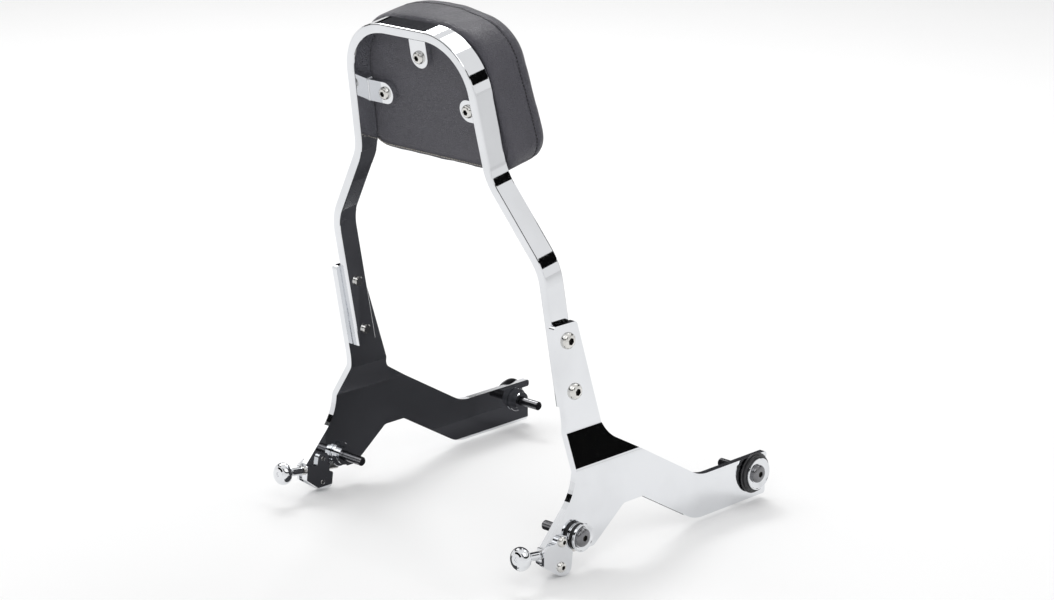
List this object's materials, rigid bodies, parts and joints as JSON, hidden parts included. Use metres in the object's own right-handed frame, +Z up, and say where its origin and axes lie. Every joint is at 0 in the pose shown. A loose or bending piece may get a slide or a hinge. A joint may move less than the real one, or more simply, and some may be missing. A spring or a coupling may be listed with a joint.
{
  "type": "motorcycle sissy bar",
  "caption": "Passenger backrest hoop of bent flat bar with a stitched pad, on side plates that hook onto docking spools and lock with sprung pull knobs.",
  "frame": {"origin": "midway between the two rear docking spools, on their common axis", "axes": "+X to the motorcycle's right, +Y forward, +Z up"},
  "size_m": [0.348, 0.3446, 0.4998],
  "materials": {
    "chrome": "polished chrome plate",
    "bright_fasteners": "bright plated",
    "vinyl": "fine-grained vinyl with light stitching",
    "foam": "open-cell foam",
    "board": "plain plywood",
    "steel": "plain steel",
    "black_collars": "satin black",
    "dark_bolts": "dark plated"
  },
  "bodies": {
    "frame": {"hoop": "chrome", "pad_tab_top": "chrome", "pad_tab_right": "chrome", "pad_tab_left": "chrome", "pad_cover": "vinyl", "pad_back_panel": "vinyl", "pad_foam": "foam", "pad_board": "board", "pad_tee_nuts": "steel", "pad_screws": "bright_fasteners", "side_plate_right": "chrome", "side_plate_left": "chrome", "tongue_bolts_right": "bright_fasteners", "tongue_bolts_left": "bright_fasteners", "rear_spool_right": "chrome", "rear_spool_left": "chrome", "front_spool_right": "chrome", "front_spool_left": "chrome", "rear_collar_right": "black_collars", "rear_collar_left": "black_collars", "front_collar_right": "black_collars", "front_collar_left": "black_collars", "rear_washer_right": "chrome", "rear_washer_left": "chrome", "front_washer_right": "chrome", "front_washer_left": "chrome", "rear_dock_bolt_right": "dark_bolts", "rear_dock_bolt_left": "dark_bolts", "front_dock_bolt_right": "dark_bolts", "front_dock_bolt_left": "dark_bolts", "latch_housing_right": "chrome", "latch_housing_left": "chrome", "latch_cover_right": "chrome", "latch_cover_left": "chrome", "latch_screws_right": "bright_fasteners", "latch_screws_left": "bright_fasteners", "latch_bush_right": "steel", "latch_bush_left": "steel", "latch_spring_right": "steel", "latch_spring_left": "steel"},
    "plunger_right": {"latch_plunger_right": "steel", "latch_knob_right": "chrome"},
    "plunger_left": {"latch_plunger_left": "steel", "latch_knob_left": "chrome"}
  },
  "joints": [
    {"name": "latch_pull_right", "type": "slide", "parent": "frame", "child": "plunger_right", "axis": [0, -0.9912, 0.1323], "range_m": [0, 0.0132], "stiffness_N_per_m": 1500, "springref_m": -0.004, "deforming": ["latch_spring_right"]},
    {"name": "latch_pull_left", "type": "slide", "parent": "frame", "child": "plunger_left", "axis": [0, -0.9912, 0.1323], "range_m": [0, 0.0132], "stiffness_N_per_m": 1500, "springref_m": -0.004, "deforming": ["latch_spring_left"]}
  ]
}
